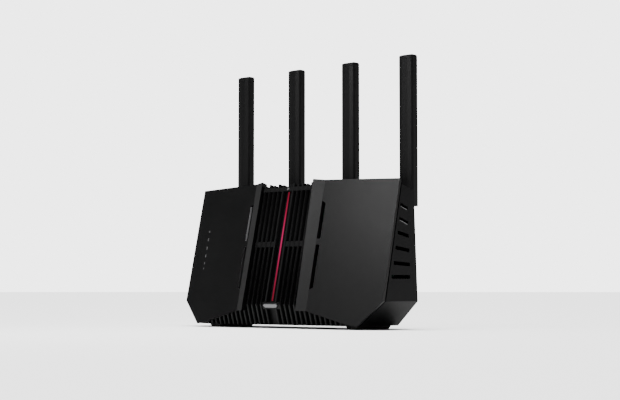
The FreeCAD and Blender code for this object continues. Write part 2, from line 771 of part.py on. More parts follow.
save("wps_button", push_cap(BUTTON_XS[0], 4.0, 5.2, PORT_END_Y + 0.9, BOARD_Y0 + BOARD_T + 4.8))
save("led_switch", switch_block(BUTTON_XS[1], 6.0, 3.8))
save("led_button", push_cap(BUTTON_XS[1], 4.0, 5.2, PORT_END_Y + 0.9, BOARD_Y0 + BOARD_T + 4.8))
save("reset_switch", switch_block(RESET_X, 5.0, 9.0))
for number, place in enumerate(ANTENNA_XS, 1):
    antenna(number, place)
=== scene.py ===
"""Looks of an upright wireless router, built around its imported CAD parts."""

import json
import logging
import math
from dataclasses import dataclass, field
from enum import Enum
from typing import Any, Iterable, Sequence

import bmesh
import bpy
from bpy.types import ID, Material, Mesh, NodeSocket, Object
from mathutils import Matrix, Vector


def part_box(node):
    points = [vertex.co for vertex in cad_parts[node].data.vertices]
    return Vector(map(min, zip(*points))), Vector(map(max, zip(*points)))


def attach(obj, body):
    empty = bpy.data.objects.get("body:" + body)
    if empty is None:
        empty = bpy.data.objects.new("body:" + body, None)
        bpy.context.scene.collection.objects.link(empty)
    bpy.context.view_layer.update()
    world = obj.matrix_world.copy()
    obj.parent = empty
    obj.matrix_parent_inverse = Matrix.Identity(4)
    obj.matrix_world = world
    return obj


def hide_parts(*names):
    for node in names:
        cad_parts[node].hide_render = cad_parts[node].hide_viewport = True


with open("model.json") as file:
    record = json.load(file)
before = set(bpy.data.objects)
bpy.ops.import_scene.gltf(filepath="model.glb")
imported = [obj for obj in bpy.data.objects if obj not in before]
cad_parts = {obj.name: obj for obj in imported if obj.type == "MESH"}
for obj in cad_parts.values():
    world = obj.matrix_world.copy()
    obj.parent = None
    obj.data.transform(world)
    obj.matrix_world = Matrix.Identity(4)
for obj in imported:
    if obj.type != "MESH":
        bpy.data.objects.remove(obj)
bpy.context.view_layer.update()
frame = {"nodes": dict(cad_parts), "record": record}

LOG = logging.getLogger("router")
MM = 0.001
SHELL = "shell"
ANTENNAS = (1, 2, 3, 4)
Triple = tuple[float, float, float]

# How copied CAD meshes are cleaned and how edges are rounded and shaded
MERGE_MM = 0.002
COPLANAR_DEG = 1.0
BEVEL_STEPS = 2
ROUND_ABOVE_DEG = 20.0
SMOOTH_BELOW_DEG = 16.0
SWEPT_SMOOTH_BELOW_DEG = 35.0
FLAT_ABOVE_MM2 = 120.0


class Side(Enum):
    """Left or right of the symmetry plane, seen from the front."""

    LEFT = -1
    RIGHT = 1

    @property
    def word(self) -> str:
        """The side's name as part names spell it."""
        return self.name.lower()


class Grain(Enum):
    """The axis that a metal was drawn or ground along."""

    ACROSS = "X"
    DEEP = "Y"
    UPRIGHT = "Z"


class Key(Enum):
    """The push keys on the rear."""

    POWER = "power"
    WPS = "wps"
    LED = "led"


# ---- camera and room

@dataclass(frozen=True)
class Viewpoint:
    """Where the camera stands and how it looks."""

    place: Triple = (0.8794, -0.9956, 0.0347)
    turn_deg: float = 40.94
    rise_deg: float = 3.79
    lens_mm: float = 80.1
    sensor_mm: float = 36.0
    clip: tuple[float, float] = (0.01, 100.0)

    def make(self) -> Object:
        """Make the camera and give it to the scene.

        Returns:
            The camera object.
        """
        data = bpy.data.cameras.new("camera")
        data.lens = self.lens_mm
        data.sensor_width = self.sensor_mm
        data.dof.use_dof = False
        data.clip_start, data.clip_end = self.clip
        camera = add_object("camera", data)
        camera.location = self.place
        camera.rotation_euler = (
            math.radians(90.0 + self.rise_deg), 0.0, math.radians(self.turn_deg))
        bpy.context.scene.camera = camera
        return camera


# ---- shader arithmetic

class Value:
    """A socket that carries a number, open to plain arithmetic."""

    def __init__(self, graph: "Graph", socket: NodeSocket) -> None:
        """Hold one output socket of a graph."""
        self.graph = graph
        self.socket = socket

    def _math(self, operation: str, left: Any, right: Any) -> "Value":
        """Add one Math node and return its result."""
        return self.graph.node(
            "ShaderNodeMath", {"operation": operation}, {0: left, 1: right})

    def __add__(self, other: Any) -> "Value":
        """self + other."""
        return self._math("ADD", self, other)

    def __radd__(self, other: Any) -> "Value":
        """other + self."""
        return self._math("ADD", other, self)

    def __sub__(self, other: Any) -> "Value":
        """self - other."""
        return self._math("SUBTRACT", self, other)

    def __rsub__(self, other: Any) -> "Value":
        """other - self."""
        return self._math("SUBTRACT", other, self)

    def __mul__(self, other: Any) -> "Value":
        """self * other."""
        return self._math("MULTIPLY", self, other)

    def __truediv__(self, other: Any) -> "Value":
        """self / other."""
        return self._math("DIVIDE", self, other)

    def __gt__(self, other: Any) -> "Value":
        """1 where self is above other, else 0."""
        return self._math("GREATER_THAN", self, other)

    def ping_pong(self, period: Any) -> "Value":
        """Fold the value back and forth between 0 and the period."""
        return self._math("PINGPONG", self, period)

    def ramp(self, low: float, high: float, start: float, end: float) -> "Value":
        """Carry the value smoothly from one range to another.

        Args:
            low: input that gives start.
            high: input that gives end.
            start: result at low.
            end: result at high.

        Returns:
            The remapped, clamped value.
        """
        return self.graph.node(
            "ShaderNodeMapRange",
            {"interpolation_type": "SMOOTHSTEP"},
            {"Value": self, "From Min": low, "From Max": high, "To Min": start, "To Max": end})


class Graph:
    """The node tree of one material, with short ways to add to it."""

    def __init__(self, name: str) -> None:
        """Start a material with an empty tree."""
        self.material = bpy.data.materials.new(name)
        self.material.use_nodes = True
        self.tree = self.material.node_tree
        self.tree.nodes.clear()

    def put(self, socket: NodeSocket, value: Any) -> None:
        """Set a socket to a value, or link it when the value comes from the tree."""
        if isinstance(value, Value):
            self.tree.links.new(value.socket, socket)
        else:
            socket.default_value = value

    def node(
        self, kind: str, settings: dict[str, Any] | None = None,
        sockets: dict[Any, Any] | None = None, out: Any = 0,
    ) -> Value:
        """Add one node.

        Args:
            kind: the node's type name.
            settings: its properties, or the stops of a ramp under "stops".
            sockets: input socket, by name or index, to value or link.
            out: the output wanted, by name or index.

        Returns:
            The chosen output.
        """
        made = self.tree.nodes.new(kind)
        for key, value in (settings or {}).items():
            if key == "stops":
                stops = made.color_ramp.elements
                while len(stops) < len(value):
                    stops.new(0.5)
                for stop, (place, colour) in zip(stops, value):
                    stop.position = place
                    stop.color = (*colour, 1.0)
            else:
                setattr(made, key, value)
        for key, value in (sockets or {}).items():
            self.put(made.inputs[key], value)
        return Value(self, made.outputs[out])

    def place(self, scale: Triple = (1.0, 1.0, 1.0)) -> Value:
        """The object's own coordinates in millimetres, stretched by a scale."""
        at = self.node("ShaderNodeTexCoord", out="Object")
        factors = tuple(s / MM for s in scale)
        return self.node("ShaderNodeVectorMath", {"operation": "MULTIPLY"}, {0: at, 1: factors})

    def along(self, axis: str) -> Value:
        """One object coordinate, in millimetres."""
        return self.node("ShaderNodeSeparateXYZ", {}, {0: self.place()}, out=axis)

    def noise(self, at: Value, size: float, detail: float = 3.0) -> Value:
        """Cloudy noise whose features are about size millimetres across."""
        return self.node(
            "ShaderNodeTexNoise", {}, {"Vector": at, "Scale": 1.0 / size, "Detail": detail})

    def cells(self, at: Value, size: float) -> Value:
        """Distance to the nearest of many scattered points, size millimetres apart."""
        return self.node("ShaderNodeTexVoronoi", {}, {"Vector": at, "Scale": 1.0 / size})

    def blend(self, factor: Any, first: Any, second: Any) -> Value:
        """Mix two colours by a factor."""
        made = self.tree.nodes.new("ShaderNodeMix")
        made.data_type = "RGBA"
        for key, value in ((0, factor), (6, first), (7, second)):
            self.put(made.inputs[key], value)
        return Value(self, made.outputs[2])

    def bump(self, height: Value, depth_mm: float) -> Value:
        """A normal tilted by a height field of the given depth."""
        return self.node(
            "ShaderNodeBump", {},
            {"Strength": 1.0, "Distance": depth_mm * MM, "Height": height})

    def finish(self, **inputs: Any) -> Material:
        """Close the tree with a Principled shader.

        Args:
            inputs: shader input names with underscores for spaces.

        Returns:
            The finished material.
        """
        named = {key.replace("_", " "): value for key, value in inputs.items()}
        shader = self.node("ShaderNodeBsdfPrincipled", {}, named)
        output = self.tree.nodes.new("ShaderNodeOutputMaterial")
        self.tree.links.new(shader.socket, output.inputs["Surface"])
        return self.material


def rgba(colour: Sequence[float]) -> tuple[float, float, float, float]:
    """A colour with full alpha."""
    return (colour[0], colour[1], colour[2], 1.0)


# ---- finishes

@dataclass(frozen=True)
class Moulded:
    """Moulded plastic with a spark-eroded grain and slight flow mottling."""

    name: str
    colour: Triple
    roughness: float = 0.45
    specular: float = 0.5
    grain_mm: float = 0.45
    grain_depth_mm: float = 0.012
    mottle: float = 0.12
    duller_above_mm: float | None = None
    duller_over_mm: float = 20.0
    duller_by: float = 0.3
    flow_mm: float = 22.0
    pit_spacing: float = 1.6
    flow_tint: float = 0.7
    grain_tint: float = 0.3
    flow_rough: float = 0.08
    grain_rough: float = 0.1
    grain_height: float = 0.6
    pit_height: float = 0.4

    def make(self) -> Material:
        """Build the material."""
        g = Graph(self.name)
        at = g.place()
        flow = g.noise(at, self.flow_mm, 2.0)
        grain = g.noise(at, self.grain_mm, 4.0)
        pits = g.cells(at, self.grain_mm * self.pit_spacing)
        light = tuple(c * (1.0 + self.mottle) for c in self.colour)
        dark = tuple(c * (1.0 - self.mottle) for c in self.colour)
        tint = flow * self.flow_tint + grain * self.grain_tint
        colour = g.blend(tint, rgba(dark), rgba(light))
        rough = self.roughness + (flow - 0.5) * self.flow_rough + (grain - 0.5) * self.grain_rough
        if self.duller_above_mm is not None:
            low = self.duller_above_mm
            high = low + self.duller_over_mm
            rough = rough + g.along("Z").ramp(low, high, 0.0, self.duller_by)
        height = grain * self.grain_height + pits * self.pit_height
        return g.finish(
            Base_Color=colour, Roughness=rough, Specular_IOR_Level=self.specular,
            Normal=g.bump(height, self.grain_depth_mm))


@dataclass(frozen=True)
class Metal:
    """Metal drawn or ground along one axis, with light handling marks."""

    name: str
    colour: Triple
    roughness: float = 0.3
    along: Grain = Grain.UPRIGHT
    stroke_mm: float = 0.12
    haze_mm: float = 9.0
    stretch: float = 0.03
    dulling: float = 0.82
    stroke_depth_mm: float = 0.01
    haze_rough: float = 0.2
    stroke_rough: float = 0.15

    def make(self) -> Material:
        """Build the material."""
        g = Graph(self.name)
        stretch = tuple(self.stretch if axis == self.along.value else 1.0 for axis in "XYZ")
        strokes = g.noise(g.place(stretch), self.stroke_mm, 3.0)
        haze = g.noise(g.place(), self.haze_mm, 3.0)
        dull = tuple(c * self.dulling for c in self.colour)
        colour = g.blend(strokes * 0.5 + haze * 0.5, rgba(dull), rgba(self.colour))
        rough = self.roughness + (haze - 0.5) * self.haze_rough
        rough = rough + (strokes - 0.5) * self.stroke_rough
        return g.finish(
            Base_Color=colour, Metallic=1.0, Roughness=rough,
            Normal=g.bump(strokes, self.stroke_depth_mm))


@dataclass(frozen=True)
class Rubber:
    """Matte rubber with a fine tooth and a trace of dust."""

    name: str
    colour: Triple
    tooth_mm: float = 0.3
    tooth_depth_mm: float = 0.03
    dust_mm: float = 6.0
    dust_span: tuple[float, float] = (0.45, 0.75)
    dust_most: float = 0.35
    roughness: float = 0.75
    tooth_rough: float = 0.15
    specular: float = 0.3
    faded: float = 0.6
    dust_grey: float = 0.03

    def make(self) -> Material:
        """Build the material."""
        g = Graph(self.name)
        at = g.place()
        tooth = g.noise(at, self.tooth_mm, 5.0)
        dust = g.noise(at, self.dust_mm, 4.0).ramp(*self.dust_span, 0.0, self.dust_most)
        grey = tuple(self.faded * c + self.dust_grey for c in self.colour)
        return g.finish(
            Base_Color=g.blend(dust, rgba(self.colour), rgba(grey)),
            Roughness=self.roughness + tooth * self.tooth_rough,
            Specular_IOR_Level=self.specular,
            Normal=g.bump(tooth, self.tooth_depth_mm))


@dataclass(frozen=True)
class LightBar:
    """Red light guide, brightest half-way up, behind a clear skin."""

    name: str = "light_red"
    low_mm: float = 26.0
    high_mm: float = 130.0
    lit_half_mm: float = 0.9
    strength: float = 0.7
    grain_mm: float = 1.2
    grain_depth_mm: float = 0.004
    grain_rough: float = 0.1
    roughness: float = 0.5
    specular: float = 0.06
    edge_mm: tuple[float, float] = (0.15, 0.1)
    unlit: Triple = (0.002, 0.0, 0.0)
    rim: Triple = (0.006, 0.003, 0.003)
    skin_dark: Triple = (0.04, 0.0005, 0.004)
    skin_light: Triple = (0.06, 0.001, 0.007)
    glow_stops: tuple[tuple[float, Triple], ...] = (
        (0.0, (0.17, 0.003, 0.014)), (0.28, (0.36, 0.010, 0.065)),
        (0.55, (0.78, 0.022, 0.175)), (0.8, (0.42, 0.005, 0.058)),
        (1.0, (0.18, 0.001, 0.012)))

    def make(self) -> Material:
        """Build the material."""
        g = Graph(self.name)
        height = g.along("Z").ramp(self.low_mm, self.high_mm, 0.0, 1.0)
        span = (g.along("Z") - self.low_mm) / (self.high_mm - self.low_mm)
        glow = g.node("ShaderNodeValToRGB", {"stops": self.glow_stops}, {0: span})
        off_centre = g.node("ShaderNodeMath", {"operation": "ABSOLUTE"}, {0: g.along("X")})
        inner, outer = self.edge_mm
        lit = off_centre.ramp(self.lit_half_mm - inner, self.lit_half_mm + outer, 1.0, 0.0)
        glow = g.blend(lit, rgba(self.unlit), glow)
        grain = g.noise(g.place((1.0, 1.0, 0.2)), self.grain_mm, 3.0)
        skin = g.blend(
            height * 0.5 + grain * 0.5, rgba(self.skin_dark), rgba(self.skin_light))
        body = g.blend(lit, rgba(self.rim), skin)
        return g.finish(
            Base_Color=body, Emission_Color=glow, Emission_Strength=self.strength,
            Specular_IOR_Level=self.specular,
            Roughness=self.roughness + grain * self.grain_rough,
            Normal=g.bump(grain, self.grain_depth_mm))


@dataclass(frozen=True)
class MilkyGuide:
    """Small milky light guides, faintly lit; also the glowing strips of painted light and shade in
    the side slots and along the vent edges.
    """

    name: str = "status_grey"
    grey: float = 0.055
    glow: float = 0.12
    cloud_mm: float = 0.8
    cloud_rough: float = 0.1
    roughness: float = 0.35
    cool: float = 1.03
    shades: tuple[float, float] = (0.75, 1.25)

    def make(self) -> Material:
        """Build the material."""
        g = Graph(self.name)
        cloud = g.noise(g.place(), self.cloud_mm, 3.0)
        greys = [f * self.grey for f in self.shades]
        colour = g.blend(cloud, *(rgba((grey, grey, grey * self.cool)) for grey in greys))
        return g.finish(
            Base_Color=colour, Emission_Color=colour, Emission_Strength=self.glow,
            Roughness=self.roughness + cloud * self.cloud_rough)


@dataclass(frozen=True)
class Board:
    """Green solder resist over copper tracks and ground fill."""

    name: str = "board_green"
    tracks_per_mm: float = 0.9
    track_gap: float = 0.62
    via_spacing_mm: float = 4.5
    via_size: float = 0.16
    region_mm: float = 26.0
    fill_mm: float = 9.0
    fill_above: float = 0.56
    blotch_mm: float = 3.0
    blotch_rough: float = 0.1
    roughness: float = 0.32
    relief_mm: float = 0.03
    via_height: float = 0.6
    resist: Triple = (0.004, 0.045, 0.028)
    track: Triple = (0.010, 0.095, 0.055)
    plating: Triple = (0.45, 0.42, 0.33)

    def make(self) -> Material:
        """Build the material."""
        g = Graph(self.name)
        at = g.place()
        region = g.noise(at, self.region_mm, 1.0)
        upright = (g.along("X") * self.tracks_per_mm).ping_pong(1.0) > self.track_gap
        level = (g.along("Z") * self.tracks_per_mm).ping_pong(1.0) > self.track_gap
        which = region > 0.5
        tracks = upright * which + level * (1.0 - which)
        vias = 1.0 - (g.cells(at, self.via_spacing_mm) > self.via_size)
        fill = g.noise(at, self.fill_mm, 1.0) > self.fill_above
        mask = tracks * fill
        colour = g.blend(mask, rgba(self.resist), rgba(self.track))
        colour = g.blend(vias, colour, rgba(self.plating))
        rough = self.roughness + g.noise(at, self.blotch_mm) * self.blotch_rough
        relief = mask + vias * self.via_height
        return g.finish(
            Base_Color=colour, Roughness=rough, Normal=g.bump(relief, self.relief_mm))


# Painted light and shade on the slot walls: the pale glowing strip stands in for light on each
# upper slot's wall and for painted highlights on the rear vent edges; the dark, faintly glowing
# strip stands in for the shaded wall of each lower slot.
PAINTED_LIGHT_STRIP = MilkyGuide("slot_liner", 0.09, 0.5)
PAINTED_SHADE_STRIP = MilkyGuide("slot_liner_dark", 0.008, 0.4)

FINISHES: dict[str, Any] = {made.name: made for made in (
    Moulded("panel_plastic", (0.0013, 0.0013, 0.0014), 0.38, 0.16, 0.4, 0.004),
    Moulded("frame_plastic", (0.0012, 0.0012, 0.0013), 0.6, 0.1),
    Moulded("grille_plastic", (0.0016, 0.0016, 0.0017), 0.5, 0.1, duller_above_mm=70.0),
    LightBar(),
    MilkyGuide(),
    Metal("badge_silver", (0.11, 0.11, 0.113), 0.32, Grain.ACROSS),
    Moulded("cover_plastic", (0.0014, 0.0014, 0.0015), 0.5, 0.065, 0.7, 0.012),
    Metal("screw_steel", (0.07, 0.07, 0.073), 0.36, Grain.DEEP),
    Rubber("foot_rubber", (0.008, 0.008, 0.008)),
    Moulded("label_grey", (0.3, 0.3, 0.3), 0.5, 0.4, 0.9, 0.004, 0.05),
    Board(),
    Metal("sink_aluminium", (0.3, 0.31, 0.32), 0.4, Grain.UPRIGHT, 0.2),
    Rubber("pad_grey", (0.28, 0.3, 0.34)),
    Metal("shield_tin", (0.5, 0.5, 0.48), 0.3, Grain.ACROSS),
    Moulded("chip_black", (0.012, 0.012, 0.013), 0.6, 0.4),
    Metal("capacitor_can", (0.45, 0.46, 0.48), 0.3, Grain.DEEP),
    Rubber("lead_black", (0.01, 0.01, 0.01)),
    Moulded("lan_plastic", (0.32, 0.235, 0.02), 0.35, 0.5, 0.5, 0.006),
    Moulded("wan_plastic", (0.018, 0.08, 0.3), 0.35, 0.5, 0.5, 0.006),
    Metal("contact_gold", (0.75, 0.5, 0.17), 0.22, Grain.DEEP),
    Metal("port_steel", (0.5, 0.5, 0.51), 0.28, Grain.DEEP),
    Moulded("tongue_blue", (0.015, 0.09, 0.38), 0.35, 0.5),
    Moulded("port_black", (0.008, 0.008, 0.008), 0.5, 0.4),
    Moulded("button_plastic", (0.012, 0.012, 0.013), 0.3, 0.5, 0.5, 0.005),
    Moulded("blade_plastic", (0.0013, 0.0013, 0.0014), 0.45, 0.1, 0.5, 0.008),
    Moulded("hinge_plastic", (0.006, 0.006, 0.0063), 0.5, 0.4, 0.5, 0.015),
    Metal("pin_steel", (0.3, 0.3, 0.31), 0.3, Grain.ACROSS),
    Metal("element_copper", (0.6, 0.26, 0.12), 0.3, Grain.UPRIGHT),
)}


@dataclass
class Workshop:
    """Keeps each finish as one material and hands it out by slot."""

    made: dict[str, Material] = field(default_factory=dict)

    def finish(self, slot: str) -> Material:
        """The material of a slot, made the first time it is asked for.

        Args:
            slot: a material slot of the record.

        Returns:
            The material.
        """
        if slot not in self.made:
            self.made[slot] = FINISHES[slot].make()
        return self.made[slot]


SHOP = Workshop()
SLOT_OF = {row["node"]: row["material_slot"] for row in frame["record"]["subparts"]}


# ---- shared makers

def add_object(name: str, data: ID) -> Object:
    """Put a mesh, lamp or camera in the scene as an object at the origin.

    Args:
        name: the object's name.
        data: its data block.

    Returns:
        The new object.
    """
    made = bpy.data.objects.new(name, data)
    bpy.context.scene.collection.objects.link(made)
    return made


def frozen(source: Object) -> Object:
    """Apply an object's modifiers and return it with a plain mesh.

    Args:
        source: an object at the origin with live modifiers.

    Returns:
        The same object.
    """
    depsgraph = bpy.context.evaluated_depsgraph_get()
    result = bpy.data.meshes.new_from_object(
        source.evaluated_get(depsgraph), preserve_all_data_layers=True, depsgraph=depsgraph)
    source.modifiers.clear()
    source.data = result
    return source


def settle(
    piece: Object, body: str, slot: str, finish: Any = None,
) -> Object:
    """Give a piece its finish, its body and its slot.

    Args:
        piece: a finished object at the origin.
        body: the body that it rides on.
        slot: its material slot in the record.
        finish: a finish of its own, where the slot's usual one doesn't suit.

    Returns:
        The same object.
    """
    piece.data.materials.clear()
    piece.data.materials.append(SHOP.finish(slot) if finish is None else finish.make())
    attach(piece, body)
    LOG.info("%s rides on %s as %s", piece.name, body, slot)
    return piece


def softened(
    node: str, body: str, edge_mm: float, angle_deg: float = ROUND_ABOVE_DEG,
) -> Object:
    """A copy of a CAD node with its edges rounded as a mould rounds them.

    Args:
        node: the CAD node that the piece stands for.
        body: the body that it rides on.
        edge_mm: width of the rounding.
        angle_deg: edges sharper than this are rounded.

    Returns:
        The new piece, riding and replacing its node.
    """
    mesh = frame["nodes"][node].data.copy()
    mesh.materials.clear()
    work = bmesh.new()
    work.from_mesh(mesh)
    bmesh.ops.remove_doubles(work, verts=work.verts, dist=MERGE_MM * MM)
    bmesh.ops.dissolve_limit(
        work, angle_limit=math.radians(COPLANAR_DEG), verts=work.verts, edges=work.edges)
    work.to_mesh(mesh)
    work.free()
    piece = rounded(add_object(node + "_finished", mesh), edge_mm, angle_deg)
    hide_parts(node)
    return settle(piece, body, SLOT_OF[node])


def rounded(
    piece: Object, edge_mm: float, angle_deg: float = ROUND_ABOVE_DEG,
) -> Object:
    """Round an object's edges.

    Args:
        piece: the object, with a closed mesh.
        edge_mm: width of the rounding.
        angle_deg: edges sharper than this are rounded.

    Returns:
        The same object with a plain, shaded mesh.
    """
    bevel = piece.modifiers.new("edges", "BEVEL")
    bevel.width = edge_mm * MM
    bevel.segments = BEVEL_STEPS
    bevel.limit_method = "ANGLE"
    bevel.angle_limit = math.radians(angle_deg)
    frozen(piece)
    shade(piece.data)
    return piece


def shade(
    mesh: Mesh, smooth_below_deg: float = SMOOTH_BELOW_DEG,
    flat_above_mm2: float = FLAT_ABOVE_MM2,
) -> None:
    """Smooth the round faces of a mesh and keep its flats flat.

    Args:
        mesh: the mesh to shade.
        smooth_below_deg: edges gentler than this are smoothed.
        flat_above_mm2: a face larger than this keeps its own flat normal.
    """
    for face in mesh.polygons:
        face.use_smooth = True
    mesh.set_sharp_from_angle(angle=math.radians(smooth_below_deg))
    sharp = set()
    for face in mesh.polygons:
        if face.area > flat_above_mm2 * MM * MM:
            sharp.update(mesh.loops[i].edge_index for i in face.loop_indices)
    marks = mesh.attributes.get("sharp_edge")
    if marks is None:
        marks = mesh.attributes.new("sharp_edge", "BOOLEAN", "EDGE")
    for index in sharp:
        marks.data[index].value = True


def dress(*nodes: str) -> None:
    """Give carried-over CAD nodes their finishes.

    Args:
        nodes: names of CAD nodes that stay as they are.
    """
    for node in nodes:
        data = frame["nodes"][node].data
        data.materials.clear()
        data.materials.append(SHOP.finish(SLOT_OF[node]))
        LOG.info("%s dressed as %s", node, SLOT_OF[node])


def prism(name: str, outline: Sequence[Vector], way: Vector) -> Object:
    """A closed prism: an outline pushed along a vector.

    Args:
        name: the object's name.
        outline: corners in order, in metres.
        way: the push, in metres.

    Returns:
        The object, not yet riding on anything.
    """
    count = len(outline)
    corners = [tuple(p) for p in outline] + [tuple(p + way) for p in outline]
    faces = [tuple(range(count)), tuple(range(2 * count - 1, count - 1, -1))]
    faces += [(i, i + count, (i + 1) % count + count, (i + 1) % count) for i in range(count)]
    mesh = bpy.data.meshes.new(name)
    mesh.from_pydata(corners, [], faces)
    outward(mesh)
    return add_object(name, mesh)


def outward(mesh: Mesh) -> None:
    """Turn every face of a closed mesh outwards."""
    work = bmesh.new()
    work.from_mesh(mesh)
    bmesh.ops.recalc_face_normals(work, faces=work.faces)
    work.to_mesh(mesh)
    work.free()


# ---- geometry nodes

class Recipe:
    """A Geometry Nodes tree with named inputs, run once on a carrier mesh."""

    def __init__(self, name: str) -> None:
        """Start a tree with a geometry input and output."""
        self.tree = bpy.data.node_groups.new(name, "GeometryNodeTree")
        face = self.tree.interface
        face.new_socket("Geometry", in_out="INPUT", socket_type="NodeSocketGeometry")
        face.new_socket("Geometry", in_out="OUTPUT", socket_type="NodeSocketGeometry")
        self.start = self.tree.nodes.new("NodeGroupInput")
        self.end = self.tree.nodes.new("NodeGroupOutput")
        self.sizes: dict[str, Any] = {}

    @property
    def given(self) -> NodeSocket:
        """The carrier's geometry inside the tree."""
        return self.start.outputs[0]

    def size(self, name: str, value: float) -> NodeSocket:
        """Add a named size input.

        Args:
            name: the input's name.
            value: the value that this piece uses.

        Returns:
            The input's socket inside the tree.
        """
        kind = "NodeSocketInt" if isinstance(value, int) else "NodeSocketFloat"
        made = self.tree.interface.new_socket(name, in_out="INPUT", socket_type=kind)
        self.sizes[made.identifier] = value
        return self.start.outputs[name]

    def add(
        self, kind: str, settings: dict[str, Any] | None = None,
        sockets: dict[Any, Any] | None = None, out: Any = 0,
    ) -> NodeSocket:
        """Add one node to the tree.

        Args:
            kind: the node's type name.
            settings: its properties.
            sockets: input socket to value or to another node's output.
            out: the output wanted.

        Returns:
            That output.
        """
        made = self.tree.nodes.new(kind)
        for key, value in (settings or {}).items():
            setattr(made, key, value)
        for key, value in (sockets or {}).items():
            if isinstance(value, NodeSocket):
                self.tree.links.new(value, made.inputs[key])
            else:
                made.inputs[key].default_value = value
        return made.outputs[out]

    def vector(self, x: Any = 0.0, y: Any = 0.0, z: Any = 0.0) -> NodeSocket:
        """A vector from three numbers or sockets."""
        return self.add("ShaderNodeCombineXYZ", {}, {0: x, 1: y, 2: z})

    def math(self, operation: str, left: Any, right: Any) -> NodeSocket:
        """The result of one Math node."""
        return self.add("ShaderNodeMath", {"operation": operation}, {0: left, 1: right})

    def repeat(self, points: Any, shape: Any) -> NodeSocket:
        """Set one shape on every vertex of the given geometry."""
        spots = self.add("GeometryNodeMeshToPoints", {}, {0: points})
        return self.add(
            "GeometryNodeInstanceOnPoints", {}, {"Points": spots, "Instance": shape})

    def ring(self, sides: Any, radius: Any) -> NodeSocket:
        """A circle to sweep along a curve."""
        return self.add(
            "GeometryNodeCurvePrimitiveCircle", {}, {"Resolution": sides, "Radius": radius})

    def sweep(self, curve: Any, section: Any) -> NodeSocket:
        """The capped solid that a section leaves along a curve."""
        return self.add(
            "GeometryNodeCurveToMesh", {},
            {"Curve": curve, "Profile Curve": section, "Fill Caps": True})

    def drum(self, sides: Any, radius: Any, depth: Any) -> NodeSocket:
        """An upright cylinder about the origin."""
        return self.add(
            "GeometryNodeMeshCylinder", {},
            {"Vertices": sides, "Radius": radius, "Depth": depth})

    def moved(self, shape: Any, **how: Any) -> NodeSocket:
        """A shape under the Translation, Rotation or Scale given."""
        return self.add("GeometryNodeTransform", {}, {"Geometry": shape, **how})

    def scatter(
        self, spots: Iterable[Vector], shape: NodeSocket, name: str, slot: str,
    ) -> Object:
        """Set one shape on each of many spots on the shell and keep the piece.

        Args:
            spots: where the shape goes, in metres.
            shape: the shape to set.
            name: the new piece's name.
            slot: material slot of the piece.

        Returns:
            The finished piece.
        """
        carrier = points_mesh(f"{name}_spots", spots)
        return self.run(carrier, self.repeat(self.given, shape), name, slot, SHELL)

    def run(
        self, carrier: Mesh, result: NodeSocket, name: str,
        slot: str, body: str, finish: Any = None,
    ) -> Object:
        """Close the tree, run it on a carrier and keep the result as a plain mesh.

        Args:
            carrier: the mesh that the tree starts from.
            result: geometry to keep.
            name: the new piece's name.
            slot: material slot of the piece.
            body: body that it rides on.
            finish: a finish of its own, where the slot's usual one doesn't suit.

        Returns:
            The finished piece.
        """
        real = self.add("GeometryNodeRealizeInstances", {}, {0: result})
        dressed = self.add(
            "GeometryNodeSetMaterial", {}, {"Geometry": real, "Material": SHOP.finish(slot)})
        self.tree.links.new(dressed, self.end.inputs[0])
        piece = add_object(name, carrier)
        modifier = piece.modifiers.new("recipe", "NODES")
        modifier.node_group = self.tree
        for identifier, value in self.sizes.items():
            modifier[identifier] = value
        frozen(piece)
        if not piece.data.polygons:
            raise ValueError(f"{name} came out empty")
        outward(piece.data)
        shade(piece.data, SWEPT_SMOOTH_BELOW_DEG)
        return settle(piece, body, slot, finish)


def points_mesh(name: str, points: Iterable[Vector]) -> Mesh:
    """A mesh of loose points, in metres."""
    mesh = bpy.data.meshes.new(name)
    mesh.from_pydata([tuple(p) for p in points], [], [])
    return mesh


# ---- sub-assemblies

@dataclass
class FrontPanels:
    """The two leaning front panels, their frames and the glowing strips of painted light and shade
    on their slot walls.
    """

    edge_mm: float = 0.35
    frame_edge_mm: float = 0.2
    face_y: float = -47.42
    sweep: float = 0.114
    lean: float = 0.2288
    slot_x: float = 48.2
    upper: tuple[float, float] = (79.5, 118.0)
    lower: tuple[float, float] = (38.6, 78.0)
    liner_mm: float = 0.3
    liner_edge_mm: float = 0.08
    liner_front: float = 0.4
    upper_back: float = 2.5
    lower_back: float = 4.6

    def build(self) -> None:
        """Make the panels and the strips of painted light and shade."""
        for side in Side:
            softened(f"front_panel_{side.word}", SHELL, self.edge_mm)
            softened(f"front_frame_{side.word}", SHELL, self.frame_edge_mm)
            # Painted light on the upper slot walls, painted shade in the lower slots.
            self.liner(side, "upper", self.upper, self.upper_back, PAINTED_LIGHT_STRIP)
            self.liner(side, "lower", self.lower, self.lower_back, PAINTED_SHADE_STRIP)

    def liner(
        self, side: Side, row: str, span: tuple[float, float], back: float, finish: Any,
    ) -> Object:
        """Glowing strip on the outer wall of one slot, painted light on an upper slot's lit wall
        and painted shade in a lower slot.

        Args:
            side: the panel that it belongs to.
            row: upper or lower, for the piece's name.
            span: heights of its two ends.
            back: how far it reaches behind the panel's face.
            finish: its finish, pale and glowing for painted light, dark and faintly glowing for
                painted shade.

        Returns:
            The strip.
        """
        corners = []
        low, high = span
        for z, behind in (
                (low, self.liner_front), (high, self.liner_front), (high, back), (low, back)):
            y = self.face_y + self.sweep * self.slot_x + self.lean * z + behind
            corners.append(Vector((side.value * (self.slot_x - self.liner_mm), y, z)) * MM)
        push = Vector((side.value * self.liner_mm * MM, 0.0, 0.0))
        piece = prism(f"slot_liner_{row}_{side.word}", corners, push)
        return settle(rounded(piece, self.liner_edge_mm), SHELL, "status_grey", finish)


